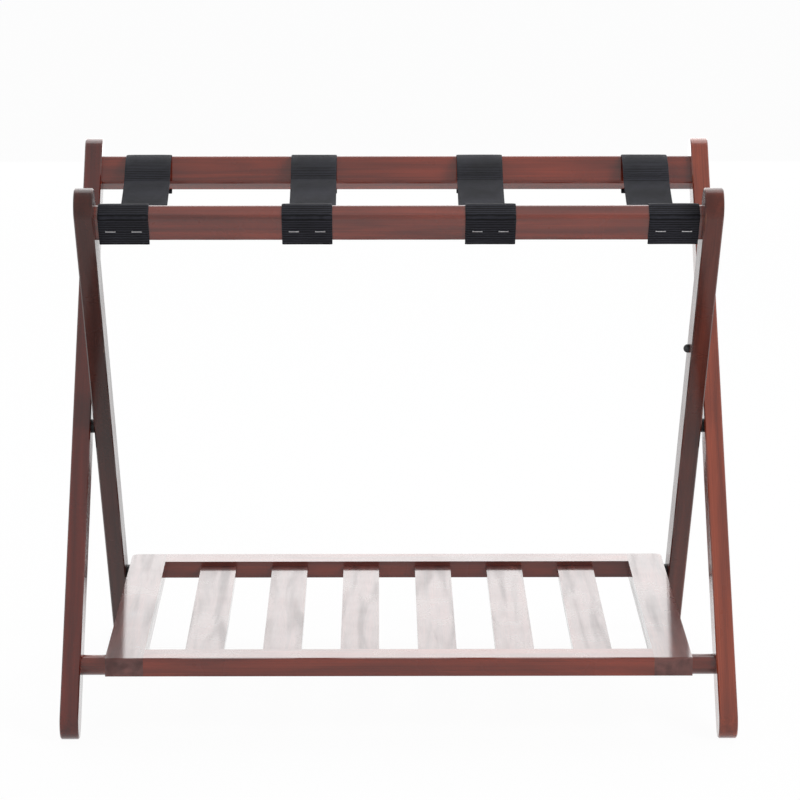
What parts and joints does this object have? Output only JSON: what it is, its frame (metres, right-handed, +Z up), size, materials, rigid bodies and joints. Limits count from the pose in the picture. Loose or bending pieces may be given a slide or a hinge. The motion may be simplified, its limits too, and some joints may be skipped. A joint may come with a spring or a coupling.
{
  "type": "folding luggage rack",
  "caption": "Folding wooden luggage rack: crossed leg frames, black webbing straps over the top rails and a slatted shelf that swings up to fold.",
  "frame": {"origin": "centre of the footprint, on the floor", "axes": "+X to the right along the rails, -Y to the front, +Z up"},
  "size_m": [0.686, 0.458, 0.5619],
  "materials": {
    "leg_wood": "gloss",
    "rail_wood": "gloss",
    "webbing": "matte",
    "rubber": "satin",
    "black_plastic": "satin",
    "steel": "satin",
    "brass": "satin",
    "beech": "matte"
  },
  "bodies": {
    "outer_frame": {"outer_leg_left": "leg_wood", "outer_leg_right": "leg_wood", "rear_top_rail": "rail_wood", "front_bar": "rail_wood", "outer_frame_screws": "brass", "rear_staples": "steel", "strap_1": "webbing", "strap_2": "webbing", "strap_3": "webbing", "strap_4": "webbing"},
    "inner_frame": {"inner_leg_left": "leg_wood", "inner_leg_right": "leg_wood", "front_top_rail": "rail_wood", "inner_frame_screws": "brass", "bumper": "rubber", "front_staples": "steel", "pivot_bolt_left": "steel", "pivot_bolt_right": "steel", "pivot_spacer_left": "black_plastic", "pivot_spacer_right": "black_plastic", "pivot_insert_left": "brass", "pivot_insert_right": "brass"},
    "shelf": {"shelf_end_board_left": "rail_wood", "shelf_end_board_right": "rail_wood", "shelf_front_rail": "rail_wood", "shelf_rear_rail": "rail_wood", "shelf_slat_1": "rail_wood", "shelf_slat_2": "rail_wood", "shelf_slat_3": "rail_wood", "shelf_slat_4": "rail_wood", "shelf_slat_5": "rail_wood", "shelf_slat_6": "rail_wood", "shelf_dowels": "beech", "hinge_bolt_left": "steel", "hinge_bolt_right": "steel", "hinge_spacer_left": "black_plastic", "hinge_spacer_right": "black_plastic", "hinge_insert_left": "brass", "hinge_insert_right": "brass"}
  },
  "joints": [
    {"name": "fold", "type": "hinge", "parent": "outer_frame", "child": "inner_frame", "pos_m": [0, 0, 0.28053], "axis": [-1, 0, 0], "range_deg": [0, 70.5], "deforming": ["strap_1", "strap_2", "strap_3", "strap_4"]},
    {"name": "shelf_lift", "type": "hinge", "parent": "inner_frame", "child": "shelf", "pos_m": [0, 0.15756, 0.08387], "axis": [-1, 0, 0], "range_deg": [0, 50.3]}
  ]
}
